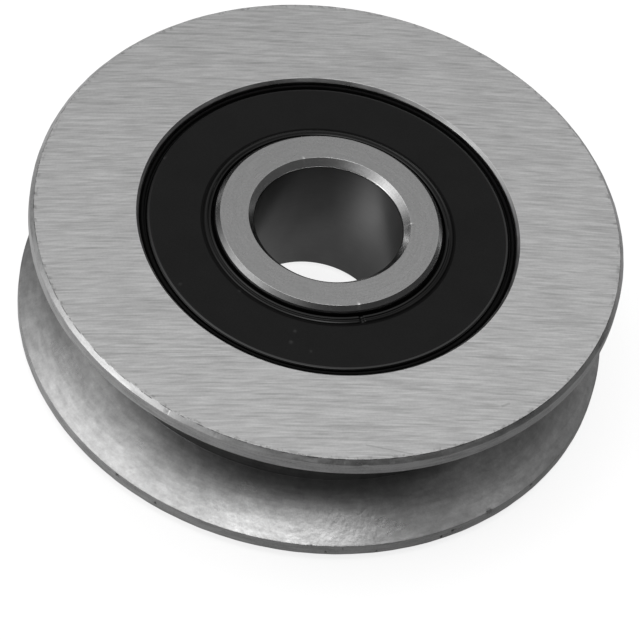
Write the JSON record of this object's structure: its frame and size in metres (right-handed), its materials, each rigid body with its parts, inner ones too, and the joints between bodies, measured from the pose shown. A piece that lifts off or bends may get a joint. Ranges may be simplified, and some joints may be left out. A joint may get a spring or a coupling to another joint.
{
  "type": "v groove wheel",
  "caption": "Grooved track wheel whose body is the outer ring of a sealed ball bearing, with a proud inner ring, a flat-bottomed V groove and a plain bore.",
  "frame": {"origin": "centre of the wheel, on the axle line and midway between the two faces of the inner ring", "axes": "+Z along the axle line, up when the wheel lies on the lower face of its inner ring; +X and +Y lie in the middle plane of the groove"},
  "size_m": [0.04, 0.04, 0.011],
  "materials": {
    "wheel_steel": "ground face, fine turned rim and a finely grained groove",
    "ring_steel": "finely ground, darker than the wheel",
    "seal_rubber": "matt black with a soft sheen on rounded edges",
    "insert_steel": "plain pressed sheet",
    "ball_steel": "mirror polished",
    "cage_steel": "pressed sheet, satin",
    "rivet_steel": "satin"
  },
  "bodies": {
    "inner_ring_body": {"inner_ring": "ring_steel"},
    "wheel_body": {"wheel": "wheel_steel", "seal_upper": "seal_rubber", "seal_lower": "seal_rubber", "seal_insert_upper": "insert_steel", "seal_insert_lower": "insert_steel"},
    "cage_body": {"cage_upper": "cage_steel", "cage_lower": "cage_steel", "cage_rivet_1": "rivet_steel", "cage_rivet_2": "rivet_steel", "cage_rivet_3": "rivet_steel", "cage_rivet_4": "rivet_steel", "cage_rivet_5": "rivet_steel", "cage_rivet_6": "rivet_steel", "cage_rivet_7": "rivet_steel"},
    "ball_1_body": {"ball_1": "ball_steel"},
    "ball_2_body": {"ball_2": "ball_steel"},
    "ball_3_body": {"ball_3": "ball_steel"},
    "ball_4_body": {"ball_4": "ball_steel"},
    "ball_5_body": {"ball_5": "ball_steel"},
    "ball_6_body": {"ball_6": "ball_steel"},
    "ball_7_body": {"ball_7": "ball_steel"}
  },
  "joints": [
    {"name": "wheel_spin", "type": "hinge", "parent": "inner_ring_body", "child": "wheel_body", "pos_m": [0, 0, 0], "axis": [0, 0, 1], "continuous": true},
    {"name": "cage_spin", "type": "hinge", "parent": "inner_ring_body", "child": "cage_body", "pos_m": [0, 0, 0], "axis": [0, 0, 1], "continuous": true},
    {"name": "ball_1_spin", "type": "hinge", "parent": "cage_body", "child": "ball_1_body", "pos_m": [0.00965, 0, 0], "axis": [0, 0, 1], "continuous": true},
    {"name": "ball_2_spin", "type": "hinge", "parent": "cage_body", "child": "ball_2_body", "pos_m": [0.00602, 0.00754, 0], "axis": [0, 0, 1], "continuous": true},
    {"name": "ball_3_spin", "type": "hinge", "parent": "cage_body", "child": "ball_3_body", "pos_m": [-0.00215, 0.00941, 0], "axis": [0, 0, 1], "continuous": true},
    {"name": "ball_4_spin", "type": "hinge", "parent": "cage_body", "child": "ball_4_body", "pos_m": [-0.00869, 0.00419, 0], "axis": [0, 0, 1], "continuous": true},
    {"name": "ball_5_spin", "type": "hinge", "parent": "cage_body", "child": "ball_5_body", "pos_m": [-0.00869, -0.00419, 0], "axis": [0, 0, 1], "continuous": true},
    {"name": "ball_6_spin", "type": "hinge", "parent": "cage_body", "child": "ball_6_body", "pos_m": [-0.00215, -0.00941, 0], "axis": [0, 0, 1], "continuous": true},
    {"name": "ball_7_spin", "type": "hinge", "parent": "cage_body", "child": "ball_7_body", "pos_m": [0.00602, -0.00754, 0], "axis": [0, 0, 1], "continuous": true}
  ],
  "couplings": [
    {"joint": "cage_spin", "follows": "wheel_spin", "ratio": 0.6439},
    {"joint": "ball_1_spin", "follows": "wheel_spin", "ratio": 1.593},
    {"joint": "ball_2_spin", "follows": "wheel_spin", "ratio": 1.593},
    {"joint": "ball_3_spin", "follows": "wheel_spin", "ratio": 1.593},
    {"joint": "ball_4_spin", "follows": "wheel_spin", "ratio": 1.593},
    {"joint": "ball_5_spin", "follows": "wheel_spin", "ratio": 1.593},
    {"joint": "ball_6_spin", "follows": "wheel_spin", "ratio": 1.593},
    {"joint": "ball_7_spin", "follows": "wheel_spin", "ratio": 1.593}
  ]
}
